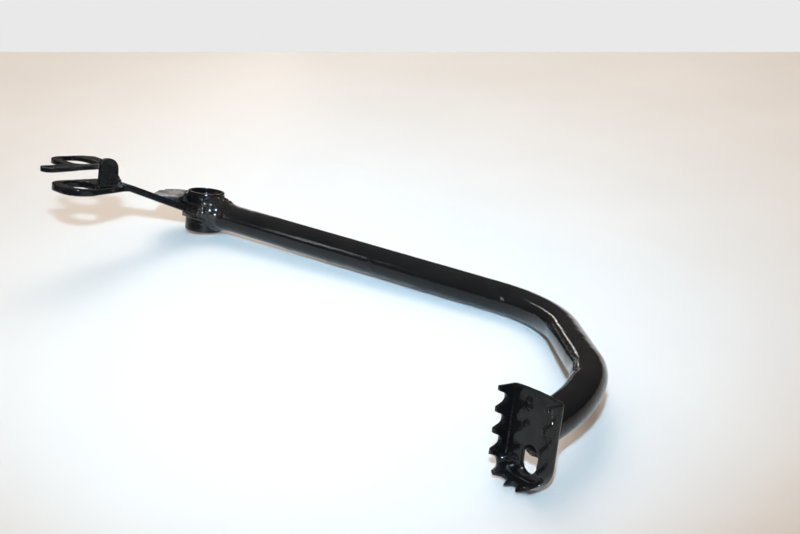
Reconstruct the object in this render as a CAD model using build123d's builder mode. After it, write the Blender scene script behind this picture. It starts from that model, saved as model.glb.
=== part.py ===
"""Foot brake pedal: a welded lever that swings on a cross shaft.

Everything is drawn in the pedal's own frame, in millimetres: the origin is the centre of the pivot
bore, Z runs along the bore, and X runs along the straight part of the foot tube.  The last section
turns the finished pieces into the way the pedal lies on a level floor.
"""

import os
from math import atan2, cos, degrees, radians, sin

from build123d import *

# ---- driving dimensions (mm, degrees) ----

sleeve_radius = 14.0
sleeve_length = 30.0
seal_seat_radius = 11.8
seal_seat_depth = 5.0
bore_radius = 10.0
edge_break = 0.6

tube_radius = 10.0
tube_wall = 2.5
straight_length = 268.0
first_bend_radius = 88.0
first_bend_angle = 49.0
middle_length = 62.0
second_bend_radius = 80.0
second_bend_angle = 47.0
second_bend_twist = 19.2
end_length = 30.0

lever_heading = -93.5
lever_thickness = 5.0
lever_stock_width = 60.0
lever_root_height = 0.7
lever_bend_reach = 72.5
lever_top_height = 23.5
lever_bend_radius = 9.0
lever_end_reach = 125.8

eye_start = 97.4
eye_far = -23.5
eye_near = 11.3
eye_corner = 13.5
lever_bar_outline = [
    (0, 9.5), (78, 3), (84, 4.7), (110.9, 11.3), (110.9, -23.5), (68, -23.5), (75, -13), (0, -10),
]

ear_gap = 14.0
ear_far = -22.5
ear_near = 8.0
ear_end = 128.0
ear_eye_start = 98.0
ear_root_outline = [
    (90.8, 2.7), (101.4, 2.7), (108, 7), (108, -22.5), (97, -22.5), (89.6, -17.8), (90, -10),
]
finger_near_edge = [(101.8, 2.7), (102.4, 6.2), (105.5, 11.0), (119, 13.8), (133, 16.2), (145, 17.6)]
finger_tip = (151.2, 12.0)
finger_far_edge = [(145, 6.4), (134.5, 5.2), (126, 1.6), (108, -2)]
ear_thickness = 3.3
lever_slot_reach = 107.5
lever_slot_width = 20.5
ear_slot_reach = 111.0
ear_slot_width = 19.5
slot_side = -6.0
slot_length = 27.0
slot_corner = 7.5
spring_hole_reach = 144.3
spring_hole_side = 12.0
spring_hole_radius = 2.8

post_near = 6.0
post_thickness = 3.3
post_start = 85.5
post_end = 100.7
post_top_height = 43.4
post_outer_round = 5.0
post_inner_round = 8.0
foot_weld_start = 82.0
foot_weld_end = 96.0
top_weld_start = 91.5
top_weld_end = 99.0

tab_top_height = 10.0
tab_thickness = 6.5
tab_corner = 1.2
tab_outline = [
    (-9, 9), (-27.5, 6), (-33, 2.5), (-36.5, -9), (-33, -12), (-34.5, -16), (-27, -28), (-19, -29.5),
    (-9, -18),
]

pad_heading = -102.7
pad_offset = 64.0
pad_side = 417.5
pad_centre_height = -17.6
pad_width = 33.3
pad_length = 46.8
pad_near_corner = 12.0
pad_far_corner = 14.5
pad_top_bow = 1.0
pad_thickness = 2.6
pad_flange_height = 12.4
pad_bend_radius = 2.4
tooth_depth = 5.2
gullet_radius = 2.6
gullet_mouth = 7.6
gullet_pitch = 10.7
first_gullet_from_end = 6.6
first_corner_gullet = 22.0
drain_hole_width = 10.0
drain_hole_length = 14.0
drain_hole_side = 1.2
drain_hole_height = -9.5

weld_leg = 3.0
weld_edge = 0.4
lever_weld_half_width = 11.0
tab_weld_sector = [(-30, 14), (-30, -30), (-9, -20)]
corner_weld_radius = 2.2
weld_toe_at_tube = 26.0
weld_toe_at_sleeve = 11.0
weld_root_radius = 13.2
weld_root_lift = 1.8

rest_roll = -12.34
rest_pitch = 1.61

# ---- frames worked out from the driving dimensions ----

lever_mid = lever_top_height - lever_thickness / 2
lever_slope = (lever_mid - lever_root_height) / (lever_bend_reach - sleeve_radius)
ear_bottom = lever_top_height + ear_gap

along_lever = Vector(cos(radians(lever_heading)), sin(radians(lever_heading)), 0)
lever_plan = Plane(origin=(0, 0, 0), x_dir=along_lever, z_dir=(0, 0, 1))
lever_side = Plane(origin=(0, 0, 0), x_dir=along_lever, z_dir=along_lever.cross(Vector(0, 0, 1)))

pad_outward = Vector(cos(radians(pad_heading)), sin(radians(pad_heading)), 0)
pad_across = Vector(-sin(radians(pad_heading)), cos(radians(pad_heading)), 0)
pad_centre = pad_across * pad_side + pad_outward * pad_offset + Vector(0, 0, pad_centre_height)
pad_plane = Plane(origin=pad_centre, x_dir=pad_across, z_dir=pad_outward)


def slot_outline(reach, width):
    """A lost-motion slot, drawn in plan on the lever; the two ears' slots overlap for most of it."""
    with BuildSketch(mode=Mode.PRIVATE) as slot:
        with Locations((reach, slot_side)):
            RectangleRounded(width, slot_length, slot_corner)
    return slot.sketch


# ---- pivot sleeve: a turned boss with a seal seat in each mouth ----

with BuildPart() as pivot_sleeve:
    Cylinder(sleeve_radius, sleeve_length)
    chamfer(pivot_sleeve.edges().filter_by(GeomType.CIRCLE), edge_break)
    Cylinder(bore_radius, sleeve_length, mode=Mode.SUBTRACT)
    seat_centre = sleeve_length / 2 - seal_seat_depth / 2
    with Locations((0, 0, seat_centre), (0, 0, -seat_centre)):
        Cylinder(seal_seat_radius, seal_seat_depth, mode=Mode.SUBTRACT)

# ---- foot tube: round tube, bent twice, coped to the sleeve and cut flush to the foot pad ----


def second_bend_point(angle):
    """A point of the tube's second bend, which turns in a plane twisted towards the floor."""
    turned = radians(angle)
    inward = middle_direction.cross(Vector(0, 0, 1)) * cos(radians(second_bend_twist))
    inward = inward - Vector(0, 0, sin(radians(second_bend_twist)))
    forward = middle_direction * sin(turned) + inward * (1 - cos(turned))
    return middle @ 1 + forward * second_bend_radius


with BuildLine() as foot_path:
    straight = Line((0, 0, 0), (straight_length, 0, 0))
    first_bend = JernArc(straight @ 1, straight % 1, first_bend_radius, -first_bend_angle)
    middle = Line(first_bend @ 1, first_bend @ 1 + (first_bend % 1) * middle_length)
    middle_direction = middle % 1
    half_way = second_bend_point(second_bend_angle / 2)
    second_bend = ThreePointArc(middle @ 1, half_way, second_bend_point(second_bend_angle))
    Line(second_bend @ 1, second_bend @ 1 + (second_bend % 1) * end_length)

with BuildPart() as foot_tube:
    with BuildSketch(Plane.YZ):
        Circle(tube_radius)
        Circle(tube_radius - tube_wall, mode=Mode.SUBTRACT)
    sweep(path=foot_path.wire())
    Cylinder(sleeve_radius, sleeve_length, mode=Mode.SUBTRACT)
    split(bisect_by=pad_plane, keep=Keep.BOTTOM)

# ---- foot pad: pressed pan, open at the top, with a toothed rim and a drain hole ----


def pan_outline(inset):
    """The pan seen from the tread side, with its lower corners rounded."""
    with BuildSketch(mode=Mode.PRIVATE) as outline:
        with Locations((0, inset)):
            Rectangle(pad_width - 2 * inset, pad_length)
        near_corner = outline.vertices().group_by(Axis.Y)[0].sort_by(Axis.X)[0]
        fillet(near_corner, pad_near_corner - inset)
        far_corner = outline.vertices().group_by(Axis.Y)[0].sort_by(Axis.X)[-1]
        fillet(far_corner, pad_far_corner - inset)
        top_ends = outline.vertices().group_by(Axis.Y)[-1].sort_by(Axis.X)
        crest = (0, top_ends[0].Y + pad_top_bow)
        with BuildLine():
            Line(top_ends[0], top_ends[1])
            ThreePointArc(top_ends[1], crest, top_ends[0])
        make_face()
    return outline.sketch


def gullet_plane(across, up, facing):
    """Plane of one round gap between two teeth, at the rim and square to the way the rim faces."""
    centre = Vector(across, up, pad_flange_height - tooth_depth + gullet_radius)
    wall_normal = Vector(cos(radians(facing)), sin(radians(facing)), 0)
    local = Plane(origin=centre, x_dir=(0, 0, 1), z_dir=wall_normal)
    return Plane(pad_plane.location * local.location)


gullet_planes = [gullet_plane(0, -pad_length / 2, -90)]
for side, corner_radius in ((-1, pad_near_corner), (1, pad_far_corner)):
    corner_across = pad_width / 2 - corner_radius
    corner_up = corner_radius - pad_length / 2
    corner_turn = degrees(gullet_pitch / corner_radius)
    for step in range(3):
        along_side = pad_length / 2 - first_gullet_from_end - step * gullet_pitch
        gullet_planes.append(gullet_plane(side * pad_width / 2, along_side, 0))
    for step in range(2):
        slope = first_corner_gullet + step * corner_turn
        out_across = side * cos(radians(slope))
        out_down = sin(radians(slope))
        gullet_across = side * corner_across + out_across * corner_radius
        gullet_up = corner_up - out_down * corner_radius
        facing = degrees(atan2(-out_down, out_across))
        gullet_planes.append(gullet_plane(gullet_across, gullet_up, facing))

with BuildPart() as foot_pad:
    with BuildSketch(pad_plane):
        add(pan_outline(0))
    extrude(amount=pad_flange_height)
    back_face = foot_pad.faces().sort_by(Axis(pad_centre, pad_outward))[0]
    fillet(back_face.edges().sort_by(Axis.Z)[:-1], pad_bend_radius)
    with BuildSketch(pad_plane.offset(pad_thickness)):
        add(pan_outline(pad_thickness))
    extrude(amount=pad_flange_height, mode=Mode.SUBTRACT)
    with BuildSketch(pad_plane):
        with Locations((drain_hole_side, drain_hole_height)):
            SlotOverall(drain_hole_length, drain_hole_width, rotation=90)
    extrude(amount=pad_flange_height, mode=Mode.SUBTRACT)
    with BuildSketch(*gullet_planes):
        Circle(gullet_radius)
        with Locations((tooth_depth - gullet_radius, 0)):
            Rectangle(edge_break, gullet_mouth)
        make_hull()
    extrude(amount=pad_bend_radius + pad_thickness, both=True, mode=Mode.SUBTRACT)

# ---- lever arm: flat bar that rises from the sleeve and ends in a wide eye with a slot ----

with BuildPart() as lever_arm:
    with BuildSketch(lever_side):
        with BuildLine():
            root = (0, lever_root_height - lever_slope * sleeve_radius)
            bend = (lever_bend_reach, lever_mid)
            FilletPolyline(root, bend, (lever_end_reach, lever_mid), radius=lever_bend_radius)
        trace(line_width=lever_thickness)
    extrude(amount=lever_stock_width, both=True)
    with BuildSketch(lever_plan):
        Polygon(*lever_bar_outline, align=None)
        with Locations(((eye_start + lever_end_reach) / 2, (eye_far + eye_near) / 2)):
            RectangleRounded(lever_end_reach - eye_start, eye_near - eye_far, eye_corner)
    extrude(amount=lever_end_reach, both=True, mode=Mode.INTERSECT)
    with BuildSketch(lever_plan):
        add(slot_outline(lever_slot_reach, lever_slot_width))
    extrude(amount=lever_end_reach, mode=Mode.SUBTRACT)
    Cylinder(sleeve_radius, 2 * sleeve_length, mode=Mode.SUBTRACT)

# ---- upper ear: thinner plate with the same slot and a finger for the return spring ----

with BuildPart() as upper_ear:
    with BuildSketch(lever_plan.offset(ear_bottom)):
        Polygon(*ear_root_outline, align=None)
        with Locations(((ear_eye_start + ear_end) / 2, (ear_far + ear_near) / 2)):
            RectangleRounded(ear_end - ear_eye_start, ear_near - ear_far, eye_corner)
        with BuildLine():
            Spline(*finger_near_edge)
            ThreePointArc(finger_near_edge[-1], finger_tip, finger_far_edge[0])
            Spline(*finger_far_edge)
            Line(finger_far_edge[-1], finger_near_edge[0])
        make_face()
        add(slot_outline(ear_slot_reach, ear_slot_width), mode=Mode.SUBTRACT)
        with Locations((spring_hole_reach, spring_hole_side)):
            Circle(spring_hole_radius, mode=Mode.SUBTRACT)
    extrude(amount=ear_thickness)

# ---- ear post: short strap that stands on the lever and holds the upper ear ----

with BuildPart() as ear_post:
    with BuildSketch(lever_side.offset(-post_near)):
        with BuildLine():
            Polyline(
                (post_start, lever_top_height),
                (post_end, lever_top_height),
                (post_end, post_top_height),
                (post_start, post_top_height),
                close=True,
            )
        make_face()
    extrude(amount=post_thickness)
    upright = ear_post.edges().filter_by(Axis((0, 0, 0), lever_side.z_dir)).group_by(Axis.Z)[-1]
    fillet(upright.sort_by(Axis((0, 0, 0), along_lever))[-1], post_outer_round)
    upright = ear_post.edges().filter_by(Axis((0, 0, 0), lever_side.z_dir))
    fillet(upright.group_by(Axis.Z)[-1].sort_by(Axis((0, 0, 0), along_lever))[0], post_inner_round)

# ---- stop tab: flat plate welded to the sleeve, beside the lever ----

with BuildPart() as stop_tab:
    with BuildSketch(Plane.XY.offset(tab_top_height - tab_thickness)):
        Polygon(*tab_outline, align=None)
    extrude(amount=tab_thickness)
    fillet(stop_tab.edges().filter_by(Axis.Z).sort_by(Axis.X)[:5], tab_corner)
    Cylinder(sleeve_radius, 2 * sleeve_length, mode=Mode.SUBTRACT)
    add(lever_arm.part, mode=Mode.SUBTRACT)

# ---- weld beads ----

with BuildPart() as tube_weld:
    with BuildSketch(Plane.YZ.offset(weld_toe_at_sleeve)):
        with Locations((0, weld_root_lift)):
            Circle(weld_root_radius)
    with BuildSketch(Plane.YZ.offset(weld_toe_at_tube)):
        Circle(tube_radius + weld_edge)
    loft()
    with BuildSketch(Plane.YZ):
        Circle(tube_radius)
    extrude(amount=weld_toe_at_tube, mode=Mode.SUBTRACT)
    Cylinder(sleeve_radius, 2 * sleeve_length, mode=Mode.SUBTRACT)

with BuildPart() as lever_weld:
    with BuildSketch(lever_side):
        with BuildLine():
            Polyline(
                (0, lever_root_height - lever_slope * sleeve_radius),
                (lever_bend_reach, lever_mid),
            )
        trace(line_width=lever_thickness + 2 * weld_leg)
    extrude(amount=lever_weld_half_width, both=True)
    with BuildSketch(lever_plan):
        Circle(sleeve_radius + weld_leg)
        Circle(sleeve_radius, mode=Mode.SUBTRACT)
    extrude(amount=sleeve_length, both=True, mode=Mode.INTERSECT)
    with BuildSketch(lever_plan):
        with Locations((sleeve_radius, 0)):
            Rectangle(2 * sleeve_radius, 4 * sleeve_radius)
    extrude(amount=sleeve_length, both=True, mode=Mode.INTERSECT)
    add(lever_arm.part, mode=Mode.SUBTRACT)
    add(stop_tab.part, mode=Mode.SUBTRACT)
    add(foot_tube.part, mode=Mode.SUBTRACT)
    add(tube_weld.part, mode=Mode.SUBTRACT)

with BuildPart() as tab_weld:
    with BuildSketch(Plane.XY.offset(tab_top_height - tab_thickness - weld_leg)):
        Circle(sleeve_radius + weld_leg)
        Circle(sleeve_radius, mode=Mode.SUBTRACT)
        with BuildLine():
            Polyline((0, 0), *tab_weld_sector, close=True)
        make_face(mode=Mode.INTERSECT)
    extrude(amount=tab_thickness + 2 * weld_leg)
    add(stop_tab.part, mode=Mode.SUBTRACT)
    add(lever_arm.part, mode=Mode.SUBTRACT)
    add(lever_weld.part, mode=Mode.SUBTRACT)

tube_end_direction = second_bend % 1
reach_to_pad = (pad_centre - second_bend @ 1).dot(pad_outward) / tube_end_direction.dot(pad_outward)
tube_end_on_pad = second_bend @ 1 + tube_end_direction * reach_to_pad
pad_weld_plane = Plane(origin=tube_end_on_pad, z_dir=tube_end_direction * -1)
with BuildPart() as pad_weld:
    with BuildSketch(pad_weld_plane.offset(-weld_leg)):
        Circle(tube_radius + weld_leg + weld_edge)
    with BuildSketch(pad_weld_plane.offset(weld_leg)):
        Circle(tube_radius + weld_edge)
    loft()
    split(bisect_by=pad_plane, keep=Keep.BOTTOM)
    with BuildSketch(pad_weld_plane):
        Circle(tube_radius)
    extrude(amount=2 * tube_radius, both=True, mode=Mode.SUBTRACT)

post_foot = lever_side.offset(post_thickness - post_near)

with BuildPart() as post_foot_weld:
    foot_weld_origin = post_foot.from_local_coords((foot_weld_start, lever_top_height))
    with BuildSketch(Plane(origin=foot_weld_origin, z_dir=along_lever)):
        Circle(corner_weld_radius)
    extrude(amount=foot_weld_end - foot_weld_start)
    add(ear_post.part, mode=Mode.SUBTRACT)
    add(lever_arm.part, mode=Mode.SUBTRACT)

with BuildPart() as post_top_weld:
    top_weld_origin = post_foot.from_local_coords((top_weld_start, ear_bottom))
    with BuildSketch(Plane(origin=top_weld_origin, z_dir=along_lever)):
        Circle(corner_weld_radius)
    extrude(amount=top_weld_end - top_weld_start)
    add(ear_post.part, mode=Mode.SUBTRACT)
    add(upper_ear.part, mode=Mode.SUBTRACT)

# ---- lay every piece down as the pedal rests on the floor, and write it ----

rest_pose = Location(Rotation(rest_roll, rest_pitch, 0))
pieces = {
    "pivot_sleeve": pivot_sleeve,
    "foot_tube": foot_tube,
    "foot_pad": foot_pad,
    "lever_arm": lever_arm,
    "upper_ear": upper_ear,
    "ear_post": ear_post,
    "stop_tab": stop_tab,
    "tube_weld": tube_weld,
    "lever_weld": lever_weld,
    "tab_weld": tab_weld,
    "pad_weld": pad_weld,
    "post_foot_weld": post_foot_weld,
    "post_top_weld": post_top_weld,
}
os.makedirs("parts", exist_ok=True)
for name, piece in pieces.items():
    piece.part.move(rest_pose)
    piece.part.label = name
    export_step(piece.part, f"parts/{name}.step")
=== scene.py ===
"""Foot brake pedal: paint, weld beads, floor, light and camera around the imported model."""

import math

import bmesh
import bpy
import numpy as np
from mathutils import Matrix, Vector, noise


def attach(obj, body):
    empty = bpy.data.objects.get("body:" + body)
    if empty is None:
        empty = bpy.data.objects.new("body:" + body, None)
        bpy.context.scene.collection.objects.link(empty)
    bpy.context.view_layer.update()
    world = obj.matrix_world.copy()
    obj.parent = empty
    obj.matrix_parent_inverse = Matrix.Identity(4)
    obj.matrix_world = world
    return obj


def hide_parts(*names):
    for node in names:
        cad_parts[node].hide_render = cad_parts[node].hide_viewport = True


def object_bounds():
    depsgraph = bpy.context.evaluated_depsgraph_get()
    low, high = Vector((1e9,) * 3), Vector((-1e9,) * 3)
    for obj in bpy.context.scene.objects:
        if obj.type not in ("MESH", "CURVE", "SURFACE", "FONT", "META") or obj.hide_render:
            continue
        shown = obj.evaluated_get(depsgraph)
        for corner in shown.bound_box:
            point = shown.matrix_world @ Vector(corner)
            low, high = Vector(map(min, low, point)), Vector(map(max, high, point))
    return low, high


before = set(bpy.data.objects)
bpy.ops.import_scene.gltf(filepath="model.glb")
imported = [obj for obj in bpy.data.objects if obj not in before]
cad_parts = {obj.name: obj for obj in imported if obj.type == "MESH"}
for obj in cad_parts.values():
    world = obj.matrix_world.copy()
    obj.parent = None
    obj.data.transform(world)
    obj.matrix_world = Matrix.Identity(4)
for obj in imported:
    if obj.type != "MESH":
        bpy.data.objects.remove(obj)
cad_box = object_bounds()
scene = bpy.context.scene
MM = 0.001
UPWARD = Vector((0, 0, 1))

# ---- the pedal's own frame: bore along Z, straight tube along X, in millimetres ----

REST = Matrix.Rotation(math.radians(-12.34), 3, "X") @ Matrix.Rotation(math.radians(1.61), 3, "Y")
SLEEVE_RADIUS = 14.0
TUBE_RADIUS = 10.0
# the tube's runs by their length, its bends by their radius and angle
STRAIGHT = 268.0
BEND_1 = (88.0, math.radians(49.0))
MIDDLE = 62.0
BEND_2 = (80.0, math.radians(47.0))
BEND_2_TWIST = math.radians(19.2)
PAD_HEADING = math.radians(-102.7)
PAD_OFFSET = 64.0
PAD_SIDE = 417.5
PAD_HEIGHT = -17.6
LEVER_HEADING = math.radians(-93.5)


def place(x, y, z):
    """A point of the pedal's own frame, in the row frame and in metres."""
    return REST @ Vector((x, y, z)) * MM


def on_lever(reach, side, height):
    """A point given along and across the lever, and above the sleeve's middle."""
    c, s = math.cos(LEVER_HEADING), math.sin(LEVER_HEADING)
    return (reach * c - side * s, reach * s + side * c, height)


def round_sleeve(reach, heading, height):
    """A point given by its distance from the bore's axis and its heading in degrees."""
    angle = math.radians(heading)
    return (reach * math.cos(angle), reach * math.sin(angle), height)


PAD_OUT = Vector((math.cos(PAD_HEADING), math.sin(PAD_HEADING), 0))
PAD_ACROSS = Vector((-math.sin(PAD_HEADING), math.cos(PAD_HEADING), 0))
PAD_CENTRE = PAD_ACROSS * PAD_SIDE + PAD_OUT * PAD_OFFSET + Vector((0, 0, PAD_HEIGHT))

# ---- shader nodes ----

# the Mix node's sockets for colours
MIX_FACTOR, MIX_A, MIX_B, MIX_RESULT = 0, 6, 7, 2
NONE = (0, 0, 0, 1)
FULL = (1, 1, 1, 1)


def new_material(name):
    material = bpy.data.materials.new(name)
    material.use_nodes = True
    tree = material.node_tree
    shader = tree.nodes["Principled BSDF"]
    return material, tree, shader


def node(tree, kind, **settings):
    made = tree.nodes.new(kind)
    for key, value in settings.items():
        if key in made.inputs:
            made.inputs[key].default_value = value
        else:
            setattr(made, key, value)
    return made


def feed(tree, socket, value):
    """Link another node's output to a socket, or set a plain value on it."""
    if isinstance(value, bpy.types.NodeSocket):
        tree.links.new(value, socket)
    else:
        socket.default_value = value


def noise_node(tree, coords, scale, detail=3.0, rough=0.55):
    made = node(tree, "ShaderNodeTexNoise", Scale=scale, Detail=detail, Roughness=rough)
    tree.links.new(coords, made.inputs["Vector"])
    return made.outputs["Fac"]


def ramp(tree, value, stops):
    made = node(tree, "ShaderNodeValToRGB")
    elements = made.color_ramp.elements
    elements[0].position, elements[0].color = stops[0]
    elements[1].position, elements[1].color = stops[-1]
    for position, color in stops[1:-1]:
        elements.new(position).color = color
    tree.links.new(value, made.inputs["Fac"])
    return made.outputs["Color"]


def math_node(tree, operation, *values, clamp=False):
    made = node(tree, "ShaderNodeMath", operation=operation, use_clamp=clamp)
    for socket, value in zip(made.inputs, values):
        feed(tree, socket, value)
    return made.outputs[0]


def mix_color(tree, factor, a, b):
    made = node(tree, "ShaderNodeMix", data_type="RGBA")
    for index, value in ((MIX_FACTOR, factor), (MIX_A, a), (MIX_B, b)):
        feed(tree, made.inputs[index], value)
    return made.outputs[MIX_RESULT]


def map_range(tree, value, start, stop, low=0.0, high=1.0):
    made = node(tree, "ShaderNodeMapRange")
    for name, limit in (("From Min", start), ("From Max", stop), ("To Min", low), ("To Max", high)):
        made.inputs[name].default_value = limit
    tree.links.new(value, made.inputs["Value"])
    return made.outputs[0]


def bump_node(tree, height, strength, distance, under=None):
    made = node(tree, "ShaderNodeBump", Strength=strength, Distance=distance)
    tree.links.new(height, made.inputs["Height"])
    if under is not None:
        tree.links.new(under, made.inputs["Normal"])
    return made.outputs["Normal"]


def near(tree, coords, point, radius, falloff):
    """1 within a radius of a point of the pedal, falling to 0 over the falloff, in millimetres."""
    away = node(tree, "ShaderNodeVectorMath", operation="DISTANCE")
    away.inputs[1].default_value = place(*point)
    tree.links.new(coords, away.inputs[0])
    return map_range(
        tree, away.outputs["Value"], radius * MM, (radius + falloff) * MM, low=1.0, high=0.0
    )


# ---- paint ----

BLACK = (0.0034, 0.0034, 0.0038, 1)
WORN_BLACK = (0.0076, 0.0070, 0.0068, 1)
DARK_RUST = (0.030, 0.014, 0.008, 1)
LIGHT_RUST = (0.085, 0.038, 0.018, 1)
DUST = (0.30, 0.285, 0.265, 1)
DUST_COVER = 0.05
RUST_ROUGHNESS = 0.45
DUST_ROUGHNESS = 1.5
HANDLED_ROUGHNESS = 0.12


def rust_mask(tree, coords, amount, spots):
    """Where rust bleeds through thin paint near the given spots."""
    patch = noise_node(tree, coords, 150, 5, 0.7)
    thin = ramp(tree, patch, [(0.46, NONE), (0.66, FULL)])
    reach = 0.0
    for spot in spots:
        reach = math_node(tree, "MAXIMUM", reach, near(tree, coords, *spot))
    return math_node(tree, "MULTIPLY", math_node(tree, "MULTIPLY", thin, reach), amount)


def dust_mask(tree, coords, amount):
    """Patchy dust on what faces up."""
    geometry = node(tree, "ShaderNodeNewGeometry")
    facing = node(tree, "ShaderNodeSeparateXYZ")
    tree.links.new(geometry.outputs["Normal"], facing.inputs[0])
    up = map_range(tree, facing.outputs["Z"], 0.45, 1.0)
    cloud = noise_node(tree, coords, 90, 5, 0.65)
    specks = ramp(tree, cloud, [(0.38, NONE), (0.75, FULL)])
    patchy = math_node(tree, "MULTIPLY", up, specks)
    return math_node(tree, "MULTIPLY", patchy, DUST_COVER * amount)


def paint(name, peel=1.0, lumps=1.0, dust=0.5, rust=0.0, rust_spots=(), gloss=0.08, shine=0.16):
    """Thick gloss black paint: orange peel, sags, thin dust on top and rust near given spots."""
    material, tree, shader = new_material(name)
    coords = node(tree, "ShaderNodeTexCoord").outputs["Object"]
    rusty = rust_mask(tree, coords, rust, rust_spots)
    dusty = dust_mask(tree, coords, dust)

    black = ramp(tree, noise_node(tree, coords, 38, 4), [(0.3, BLACK), (0.72, WORN_BLACK)])
    brown = ramp(tree, noise_node(tree, coords, 420, 3), [(0.35, DARK_RUST), (0.7, LIGHT_RUST)])
    tone = mix_color(tree, dusty, mix_color(tree, rusty, black, brown), DUST)
    tree.links.new(tone, shader.inputs["Base Color"])

    # glossy, duller where the paint is thin, dusty or handled
    handled = noise_node(tree, coords, 62, 5, 0.6)
    rough = map_range(tree, handled, 0.35, 0.75, gloss, gloss + HANDLED_ROUGHNESS)
    rough = math_node(
        tree, "ADD", rough, math_node(tree, "MULTIPLY", rusty, RUST_ROUGHNESS)
    )
    rough = math_node(
        tree, "ADD", rough, math_node(tree, "MULTIPLY", dusty, DUST_ROUGHNESS), clamp=True
    )
    tree.links.new(rough, shader.inputs["Roughness"])

    # orange peel, then softer sags and lumps
    orange_peel = bump_node(tree, noise_node(tree, coords, 560, 2, 0.5), 0.14 * peel, 0.0006)
    sags = bump_node(tree, noise_node(tree, coords, 120, 3, 0.5), 0.30 * lumps, 0.0016, orange_peel)
    tree.links.new(sags, shader.inputs["Normal"])

    shader.inputs["Specular IOR Level"].default_value = shine
    shader.inputs["Coat Weight"].default_value = shine
    shader.inputs["Coat Roughness"].default_value = 0.03
    shader.inputs["Coat IOR"].default_value = 1.45
    return material


def floor_paint():
    """Matt off-white with a faint cloudiness and a fine grain."""
    material, tree, shader = new_material("pale_floor")
    coords = node(tree, "ShaderNodeTexCoord").outputs["Object"]
    cloud = noise_node(tree, coords, 2.2, 4)
    tone = ramp(tree, cloud, [(0.3, (0.76, 0.755, 0.75, 1)), (0.7, (0.83, 0.825, 0.82, 1))])
    tree.links.new(tone, shader.inputs["Base Color"])
    grain = bump_node(tree, noise_node(tree, coords, 160, 4), 0.05, 0.0005)
    tree.links.new(grain, shader.inputs["Normal"])
    shader.inputs["Roughness"].default_value = 0.55
    shader.inputs["Specular IOR Level"].default_value = 0.3
    return material


# rust spots: a point, the radius of full rust and the width over which it fades
BORE_DEPTH = ((0, 0, 9), 11.8, 1.2)
TUBE_ROOT = ((22, 0, 0), 8, 14)
TUBE_JOINT = ((17, -8, 4), 4, 12)
LEVER_JOINT = ((4, -15, 1), 3, 9)
POST_FOOT = (on_lever(90, 3, 24), 4, 6)

materials = {
    "pivot_sleeve": paint("sleeve_paint", lumps=1.3, dust=0.3, rust=0.9, rust_spots=(BORE_DEPTH,)),
    "foot_tube": paint("tube_paint", lumps=0.75, dust=0.35, rust=0.35, rust_spots=(TUBE_ROOT,)),
    "foot_pad": paint("pad_paint", dust=0.2, lumps=1.5),
    "lever_arm": paint("lever_paint", dust=0.8, rust=0.5, rust_spots=(LEVER_JOINT, POST_FOOT)),
    "upper_ear": paint("ear_paint", dust=0.8),
    "ear_post": paint("post_paint", dust=0.4, rust=0.4, rust_spots=(POST_FOOT,)),
    "stop_tab": paint("tab_paint", lumps=1.6, dust=34.0, gloss=0.30),
    "weld_bead": paint(
        "weld_paint", peel=2.0, lumps=3.2, dust=0.2, gloss=0.04, shine=0.42,
        rust=0.35, rust_spots=(TUBE_JOINT, LEVER_JOINT, POST_FOOT),
    ),
}

# ---- mesh tools ----


def object_of(name, mesh):
    made = bpy.data.objects.new(name, mesh)
    scene.collection.objects.link(made)
    return made


def finish_piece(piece, node_name, slot):
    """Smooth shading, the slot's paint, and the piece in the CAD node's stead."""
    piece.data.polygons.foreach_set("use_smooth", [True] * len(piece.data.polygons))
    piece.data.materials.clear()
    piece.data.materials.append(materials[slot])
    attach(piece, "root")
    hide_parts(node_name)
    return piece


def vertex_array(mesh):
    flat = np.empty(len(mesh.vertices) * 3, dtype=np.float32)
    mesh.vertices.foreach_get("co", flat)
    return flat.reshape(-1, 3).astype(float)


def unevenness(points, scale, depth):
    """Inward waviness of hand-sprayed paint, in metres, for each point."""
    waves = np.array([noise.noise(Vector(p) * scale) for p in points])
    return -depth * (0.5 + 0.5 * waves)


def blob(bm, centre, radius, stretch=(1, 1, 1)):
    """A lump of weld or paint, placed in the pedal's own frame."""
    matrix = Matrix.Translation(place(*centre)) @ REST.to_4x4() @ Matrix.Diagonal((*stretch, 1))
    bmesh.ops.create_icosphere(bm, subdivisions=3, radius=radius * MM, matrix=matrix)


def with_blobs(node_name, blobs):
    """A copy of the CAD node's mesh with lumps laid into it."""
    bm = bmesh.new()
    bm.from_mesh(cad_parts[node_name].data)
    for lump in blobs:
        blob(bm, *lump)
    mesh = bpy.data.meshes.new(node_name + "_painted")
    bm.to_mesh(mesh)
    bm.free()
    return mesh


def painted(node_name, slot, blobs=(), voxel=0.36, passes=5, wave=0.10):
    """The CAD node under thick paint: edges softened, lumps melted in, faces slightly uneven.

    Voxel and wave are in millimetres; more passes round the edges more.
    """
    piece = object_of(node_name + "_painted", with_blobs(node_name, blobs))
    remesh = piece.modifiers.new("skin", "REMESH")
    remesh.mode = "VOXEL"
    remesh.voxel_size = voxel * MM
    soften = piece.modifiers.new("soften", "SMOOTH")
    soften.factor = 0.5
    soften.iterations = passes
    evaluated = piece.evaluated_get(bpy.context.evaluated_depsgraph_get())
    piece.modifiers.clear()
    mesh = bpy.data.meshes.new_from_object(evaluated)
    piece.data = mesh
    normals = np.empty(len(mesh.vertices) * 3, dtype=np.float32)
    mesh.vertices.foreach_get("normal", normals)
    points = vertex_array(mesh)
    depth = unevenness(points, 140, wave * MM)
    points += normals.reshape(-1, 3) * depth[:, None]
    mesh.vertices.foreach_set("co", points.astype(np.float32).ravel())
    mesh.update()
    return finish_piece(piece, node_name, slot)


# ---- foot tube: swept skin with a kinked second bend, sags and lumps in the paint ----


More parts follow.
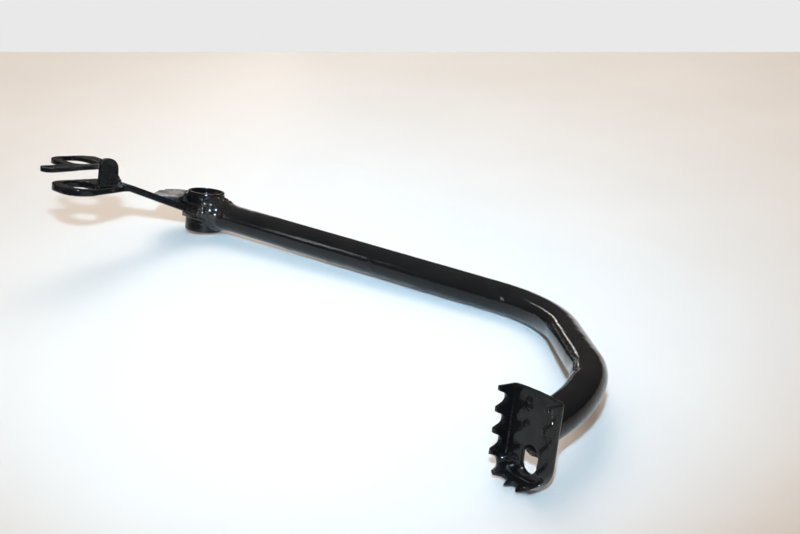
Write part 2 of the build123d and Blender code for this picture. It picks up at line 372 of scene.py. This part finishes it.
def tube_path(step):
    """Points of the tube's centre line and its direction at each, in millimetres."""
    points, heads = [], []

    def run(start, direction, length):
        count = max(1, round(length / step))
        for i in range(count):
            points.append(start + direction * (length * i / count))
            heads.append(direction.copy())
        return start + direction * length

    def bend(start, direction, inward, radius, angle):
        def on_arc(turned):
            ahead, across = radius * math.sin(turned), radius * (1 - math.cos(turned))
            point = start + direction * ahead + inward * across
            return point, direction * math.cos(turned) + inward * math.sin(turned)

        count = max(1, round(radius * angle / step))
        for i in range(count):
            point, direction_there = on_arc(angle * i / count)
            points.append(point)
            heads.append(direction_there)
        return on_arc(angle)

    head = Vector((1, 0, 0))
    at = run(Vector((0, 0, 0)), head, STRAIGHT)
    at, head = bend(at, head, head.cross(UPWARD), *BEND_1)
    at = run(at, head, MIDDLE)
    twist_side, twist_up = math.cos(BEND_2_TWIST), math.sin(BEND_2_TWIST)
    at, head = bend(at, head, head.cross(UPWARD) * twist_side - UPWARD * twist_up, *BEND_2)
    left = (PAD_CENTRE - at).dot(PAD_OUT) / head.dot(PAD_OUT)
    run(at, head, left)
    points.append(at + head * left)
    heads.append(head)
    return points, heads


def bump_at(s, angle, s_0, angle_0, s_size, angle_size):
    """A soft lump on the tube's skin, from 0 to 1."""
    turn = (angle - angle_0 + math.pi) % (2 * math.pi) - math.pi
    return math.exp(-(((s - s_0) / s_size) ** 2) - (turn / angle_size) ** 2)


def flat_of_bend(start, radius, angle):
    """The slight flat that bending leaves on the outer side."""
    half = radius * angle / 2
    return (start + half, 0.0, half, 0.9, -0.30)


BEND_2_START = STRAIGHT + BEND_1[0] * BEND_1[1] + MIDDLE
KINK = BEND_2_START + BEND_2[0] * BEND_2[1] * 0.42
FRONT = math.radians(180)  # the side of the tube away from +Y
# swellings of the skin: along the tube, round it, length, width round it, height
DRIPS_AND_SPECKS = [
    (170.5, math.radians(157), 1.5, 0.26, 0.75),
    (172.0, math.radians(200), 2.2, 0.16, 0.35),
    (266.7, math.radians(181), 1.4, 0.12, 0.18),
    (92.0, math.radians(250), 5.0, 0.20, 0.30),
    (131.0, math.radians(244), 4.0, 0.18, 0.28),
    (214.0, math.radians(238), 6.0, 0.20, 0.26),
    (236.0, math.radians(150), 1.2, 0.12, 0.25),
    (58.0, math.radians(120), 1.4, 0.14, 0.25),
    (301.0, math.radians(130), 1.3, 0.12, 0.22),
    (322.0, math.radians(228), 5.0, 0.18, 0.30),
]
# the second bend's inner side: a crease with a swelling each side of it
CREASE = [
    (KINK, FRONT - 0.15, 5.0, 0.85, -0.85),
    (KINK - 10.0, FRONT - 0.1, 6.0, 0.8, 0.22),
    (KINK + 9.5, FRONT - 0.25, 5.5, 0.8, 0.28),
]
FLATS = [flat_of_bend(STRAIGHT, *BEND_1), flat_of_bend(BEND_2_START, *BEND_2)]
# the weld at the sleeve runs out along the tube: its height, middle and length
RUN_OUT_HEIGHT, RUN_OUT_AT, RUN_OUT_LENGTH = 0.75, 23.0, 6.5

RING_STEP = 1.2
AROUND = 80
MOUTH_SINK = 0.4  # how far the tube's mouth reaches into the sleeve
PAD_GAP = 0.05  # how far the tube's end stays short of the pad


def tube_radius_at(s, angle):
    radius = TUBE_RADIUS
    for *where, height in DRIPS_AND_SPECKS:
        radius += height * bump_at(s, angle, *where)
    radius += RUN_OUT_HEIGHT * math.exp(-(((s - RUN_OUT_AT) / RUN_OUT_LENGTH) ** 2))
    for *where, height in CREASE + FLATS:
        radius += height * bump_at(s, angle, *where)
    return radius


def cut_to_neighbours(p, head, s):
    """Keep a point of the skin outside the sleeve and short of the pad."""
    if s < SLEEVE_RADIUS + 1:
        reach = math.sqrt(max(0.0, (SLEEVE_RADIUS - MOUTH_SINK) ** 2 - p.y * p.y))
        p.x = max(p.x, reach)
    beyond = (p - PAD_CENTRE).dot(PAD_OUT)
    if beyond > -PAD_GAP:
        p = p - head * ((beyond + PAD_GAP) / head.dot(PAD_OUT))
    return p


def tube_rings():
    """Rings of points round the tube, in metres, without those that the sleeve swallows."""
    points, heads = tube_path(RING_STEP)
    rings, s = [], 0.0
    side = Vector((0, 1, 0))
    for i, (point, head) in enumerate(zip(points, heads)):
        if i:
            s += (point - points[i - 1]).length
            side = (side - head * side.dot(head)).normalized()
        top = head.cross(side).normalized()
        ring = []
        for k in range(AROUND):
            angle = 2 * math.pi * k / AROUND
            out = side * math.cos(angle) + top * math.sin(angle)
            p = cut_to_neighbours(point + out * tube_radius_at(s, angle), head, s)
            ring.append(REST @ p * MM)
        rings.append(ring)
    same_place = 1e-7
    while max((a - b).length for a, b in zip(rings[0], rings[1])) < same_place:
        rings.pop(0)
    return np.array([[tuple(p) for p in ring] for ring in rings])


def closed_tube(name, grid):
    """A mesh through a grid of rings, closed by a fan at each end."""
    count, around = grid.shape[:2]
    flat = grid.reshape(-1, 3)
    ends = np.array([flat[:around].mean(axis=0), flat[-around:].mean(axis=0)])
    first, last = len(flat), len(flat) + 1
    faces = []
    for r in range(count - 1):
        for k in range(around):
            n = (k + 1) % around
            below, above = r * around, (r + 1) * around
            faces.append((below + k, below + n, above + n, above + k))
    for k in range(around):
        n = (k + 1) % around
        faces.append((first, n, k))
        faces.append((last, (count - 1) * around + k, (count - 1) * around + n))
    mesh = bpy.data.meshes.new(name)
    mesh.from_pydata(np.vstack([flat, ends]).tolist(), [], faces)
    mesh.validate()
    bm = bmesh.new()
    bm.from_mesh(mesh)
    bmesh.ops.remove_doubles(bm, verts=bm.verts, dist=1e-6)
    bmesh.ops.recalc_face_normals(bm, faces=bm.faces)
    bm.to_mesh(mesh)
    bm.free()
    return mesh


def foot_tube_piece():
    grid = tube_rings()
    out = grid - grid.mean(axis=1, keepdims=True)
    out /= np.linalg.norm(out, axis=2, keepdims=True)
    depth = unevenness(grid.reshape(-1, 3), 95, 0.11 * MM).reshape(*grid.shape[:2], 1)
    mesh = closed_tube("foot_tube_painted", grid + out * depth)
    return finish_piece(object_of("foot_tube_painted", mesh), "foot_tube", "foot_tube")


# ---- weld beads: overlapping drops of metal laid along each joint ----
# a drop is its centre and radius, and its stretch where it isn't round

# the way to the flash over the camera, from the sleeve and from the pad
LAMP_FROM_SLEEVE = Vector((0.679, -0.679, 0.280))
LAMP_FROM_PAD = Vector((0.407, -0.773, 0.482))
LUMP_STANDS_PROUD = 1.1


def ring_at_sleeve(offset, radius, start, stop, count):
    """Drops round the tube where it meets the sleeve; offset moves them along the tube."""
    drops = []
    for i in range(count):
        angle = math.radians(start + (stop - start) * i / (count - 1))
        y, z = TUBE_RADIUS * math.cos(angle), TUBE_RADIUS * math.sin(angle)
        x = math.sqrt(SLEEVE_RADIUS ** 2 - y * y) + offset
        size = radius * (1 + 0.10 * math.sin(2.7 * i) + 0.06 * math.cos(5.1 * i))
        drops.append(((x, y * 1.03, z * 1.03), size, (0.85, 1, 1)))
    return drops


def line_of_drops(start, end, radius, count):
    drops = []
    for i in range(count):
        t = i / (count - 1)
        p = [a + (b - a) * t for a, b in zip(start, end)]
        size = radius * (1 + 0.10 * math.sin(3.3 * i + 1) + 0.05 * math.cos(6.7 * i))
        drops.append((tuple(p), size))
    return drops


def shiny_lumps(lumps, toward):
    """Lumps that stand a little proud at given points, on the side that the lamp catches."""
    return [
        (tuple(Vector(point) - toward * (radius - LUMP_STANDS_PROUD)), radius)
        for *point, radius in lumps
    ]


def tube_drops():
    drops = ring_at_sleeve(1.2, 2.9, 0, 352, 30)
    drops += ring_at_sleeve(5.2, 2.1, 20, 350, 30)
    drops += line_of_drops((13.5, -3, 11.6), (24, -1.5, 9.6), 2.6, 6)
    drops += line_of_drops((14.5, 3, 11.2), (24.5, 3, 9.2), 2.5, 6)
    lumps = [
        (7.9, -11.5, 11.0, 3.4), (11.1, -11.7, 7.9, 3.6), (15.2, -10.0, 8.6, 3.2),
        (21.3, -9.9, 6.0, 3.2), (21.5, -11.1, 2.0, 3.0), (8.3, -14.8, 0.6, 2.6),
        (9.1, -10.6, -7.2, 2.5), (10.7, -9.0, -8.5, 2.4), (16.5, -11.5, 4.5, 3.4),
    ]
    return drops + shiny_lumps(lumps, LAMP_FROM_SLEEVE)


def lever_drops():
    """A row over and a row under the lever's end, and a short one up its side."""
    drops = []
    for i in range(9):
        for height in (5.6, -3.4):
            point = round_sleeve(SLEEVE_RADIUS + 0.9, -128 + 9.2 * i, height)
            drops.append((point, 1.9, (1, 1, 0.9)))
    return drops + line_of_drops((9.6, -12.2, 4.5), (9.9, -11.8, -4.4), 1.9, 5)


def tab_drops():
    """A row over and a row under the tab, and a short one across its corner."""
    drops = []
    for i in range(6):
        for height in (4.4, 11.2):
            drops.append((round_sleeve(SLEEVE_RADIUS + 0.8, -168 + 11 * i, height), 1.7))
    return drops + line_of_drops((-8.6, -13.6, 8.6), (-5.0, -15.2, 6.6), 2.3, 4)


def pad_drops():
    """A ring where the tube's end meets the back of the pad."""
    points, heads = tube_path(2.0)
    end, head = points[-1], heads[-1]
    side = UPWARD.cross(head).normalized()
    up = head.cross(side)
    count, outward, back = 26, 0.7, 0.9
    drops = []
    for i in range(count):
        angle = 2 * math.pi * i / count
        out = side * math.cos(angle) + up * math.sin(angle)
        p = end + out * (TUBE_RADIUS + outward)
        p = p - head * ((p - PAD_CENTRE).dot(PAD_OUT) / head.dot(PAD_OUT)) - PAD_OUT * back
        drops.append((tuple(p), 1.8 + 0.15 * math.sin(2.1 * i)))
    return drops


def pan_lumps():
    """Lumps of paint on the pad's floor, its rim and its far corner."""
    lumps = [
        (378.7, -156.2, -31.6, 2.6), (382.2, -155.6, -30.6, 2.6), (385.8, -155.2, -29.5, 2.6),
        (389.0, -155.9, 1.2, 1.8), (389.6, -156.1, -2.0, 1.7), (389.3, -156.0, -10.2, 1.6),
        (406.9, -169.0, 3.3, 1.5),
    ]
    return shiny_lumps(lumps, LAMP_FROM_PAD)


def post_foot_drops():
    drops = line_of_drops(on_lever(83.6, 3.0, 24.6), on_lever(95, 2.2, 24.2), 2.0, 8)
    return drops + line_of_drops(on_lever(82.6, 3.8, 24.4), on_lever(85.4, 3.8, 29.0), 2.1, 5)


def post_top_drops():
    return line_of_drops(on_lever(92.0, 2.2, 36.6), on_lever(99.5, 2.2, 36.6), 1.4, 5)


# ---- pieces ----

foot_tube_piece()
painted("pivot_sleeve", "pivot_sleeve", voxel=0.46, wave=0.08)
painted("lever_arm", "lever_arm", voxel=0.48, passes=6)
painted("upper_ear", "upper_ear", passes=7)
painted("ear_post", "ear_post", passes=7)
painted("stop_tab", "stop_tab", voxel=0.48, passes=6)
painted("foot_pad", "foot_pad", pan_lumps(), passes=15)
painted("tube_weld", "weld_bead", tube_drops(), voxel=0.42, passes=4, wave=0.5)
painted("lever_weld", "weld_bead", lever_drops())
painted("tab_weld", "weld_bead", tab_drops())
painted("pad_weld", "weld_bead", pad_drops())
painted("post_foot_weld", "weld_bead", post_foot_drops(), voxel=0.3)
painted("post_top_weld", "weld_bead", post_top_drops(), voxel=0.3)

# ---- camera ----

CAMERA = Vector((0.6577, -0.5807, 0.2957))
RIGHT = Vector((0.78642, 0.61663, -0.03632))
UP = Vector((-0.20426, 0.31509, 0.92682))
BACK = Vector((0.58295, -0.72145, 0.37374))
AHEAD = Vector((-BACK.x, -BACK.y, 0)).normalized()  # level, the way the camera looks
camera = bpy.data.objects.new("camera", bpy.data.cameras.new("camera"))
scene.collection.objects.link(camera)
camera.data.sensor_width = 36
camera.data.lens = 54
camera.matrix_world = Matrix.Translation(CAMERA) @ Matrix((RIGHT, UP, BACK)).transposed().to_4x4()
scene.camera = camera

# ---- floor ----

FLOOR_Z = cad_box[0].z
# the table's edges: sideways, and above the view's middle, for each metre ahead
SIDE_EDGE = 1.2
FAR_EDGE = 0.1792
NEAR_EDGE = -0.29


def table_point(sideways, rise):
    """Where the table lies along a line of sight, to the right of and above the view's middle."""
    ray = RIGHT * sideways + UP * rise - BACK
    return CAMERA + ray * ((FLOOR_Z - CAMERA.z) / ray.z)


corners = [
    table_point(-SIDE_EDGE, FAR_EDGE), table_point(SIDE_EDGE, FAR_EDGE),
    table_point(SIDE_EDGE, NEAR_EDGE), table_point(-SIDE_EDGE, NEAR_EDGE),
]
floor_mesh = bpy.data.meshes.new("floor")
floor_mesh.from_pydata([(c.x, c.y, FLOOR_Z) for c in corners], [], [(3, 2, 1, 0)])
floor_mesh.materials.append(floor_paint())
floor = object_of("floor", floor_mesh)

# ---- light: a small flash over the camera, a soft lamp overhead and lamps that only glint ----

PEDAL_MIDDLE = (cad_box[0] + cad_box[1]) / 2
FLASH = CAMERA + Vector((0, 0, 0.165))


def area_light(name, location, target, size, power, color, size_y=None, diffuse=True, glossy=True):
    """A lamp aimed at a target: a disk, or a rectangle where it has a second size."""
    data = bpy.data.lights.new(name, "AREA")
    data.shape = "RECTANGLE" if size_y else "DISK"
    data.size = size
    if size_y:
        data.size_y = size_y
    data.energy = power
    data.color = color
    lamp = bpy.data.objects.new(name, data)
    scene.collection.objects.link(lamp)
    lamp.location = location
    lamp.rotation_euler = (Vector(target) - Vector(location)).to_track_quat("-Z", "Y").to_euler()
    lamp.visible_diffuse = diffuse
    lamp.visible_glossy = glossy
    return lamp


key = area_light("key", FLASH, PEDAL_MIDDLE + AHEAD * 0.35, 0.045, 1.85, (0.50, 0.78, 1.0))
key.data.spread = math.radians(60)
area_light("spark", FLASH, PEDAL_MIDDLE, 0.05, 22.0, (0.75, 0.88, 1.0), diffuse=False)
area_light(
    "overhead", PEDAL_MIDDLE + AHEAD * 1.0 + Vector((0, 0, 1.6)), PEDAL_MIDDLE,
    1.5, 18.5, (1.0, 0.88, 0.77), glossy=False,
)
area_light(
    "side", (-0.88, -1.09, 0.54), (0.125, 0, 0), 0.12, 1.4, (0.9, 0.95, 1.0), 0.35, diffuse=False
)


def strip_light():
    """A thin strip far to the left, mirrored as a line along the bend."""
    distance = 1.2
    bend_at = place(330, -36, 7)
    start = bend_at + Vector((-0.843, 0.119, 0.530)) * distance
    stop = bend_at + Vector((-0.771, 0.628, 0.102)) * distance
    middle = (start + stop) / 2
    strip = area_light(
        "strip", middle, bend_at, 0.025, 0.9, (1.0, 0.97, 0.92), 0.8, diffuse=False
    )
    backward = (middle - bend_at).normalized()
    lengthwise = (stop - start - backward * backward.dot(stop - start)).normalized()
    axes = Matrix((lengthwise.cross(backward), lengthwise, backward)).transposed()
    strip.rotation_euler = axes.to_euler()


strip_light()


def room():
    """Warm walls, brighter ahead, but a dark room in reflections and a pale wall in view."""
    world = bpy.data.worlds.new("room")
    world.use_nodes = True
    tree = world.node_tree
    tree.nodes.clear()
    direction = node(tree, "ShaderNodeTexCoord").outputs["Generated"]
    toward = node(tree, "ShaderNodeVectorMath", operation="DOT_PRODUCT")
    toward.inputs[1].default_value = AHEAD
    tree.links.new(direction, toward.inputs[0])
    split = node(tree, "ShaderNodeSeparateXYZ")
    tree.links.new(direction, split.inputs[0])
    height = split.outputs["Z"]

    ahead = math_node(tree, "MULTIPLY_ADD", toward.outputs["Value"], 0.5, 0.5)
    behind, beside, in_front = (0.20, 0.17, 0.145, 1), (0.38, 0.32, 0.27, 1), (0.80, 0.67, 0.55, 1)
    walls = ramp(tree, ahead, [(0.0, behind), (0.5, beside), (1.0, in_front)])
    ceiling = ramp(tree, height, [(0.0, NONE), (0.75, FULL)])
    lit = mix_color(tree, ceiling, walls, (0.50, 0.41, 0.33, 1))
    dark = ramp(tree, height, [(0.0, (0.055, 0.05, 0.048, 1)), (0.8, (0.26, 0.24, 0.22, 1))])
    ray = node(tree, "ShaderNodeLightPath")
    mirrored = mix_color(tree, ray.outputs["Is Glossy Ray"], lit, dark)
    shown = mix_color(tree, ray.outputs["Is Camera Ray"], mirrored, (0.82, 0.815, 0.82, 1))

    background = node(tree, "ShaderNodeBackground")
    tree.links.new(shown, background.inputs["Color"])
    output = node(tree, "ShaderNodeOutputWorld")
    tree.links.new(background.outputs[0], output.inputs[0])
    return world


scene.world = room()
scene.view_settings.view_transform = "Standard"
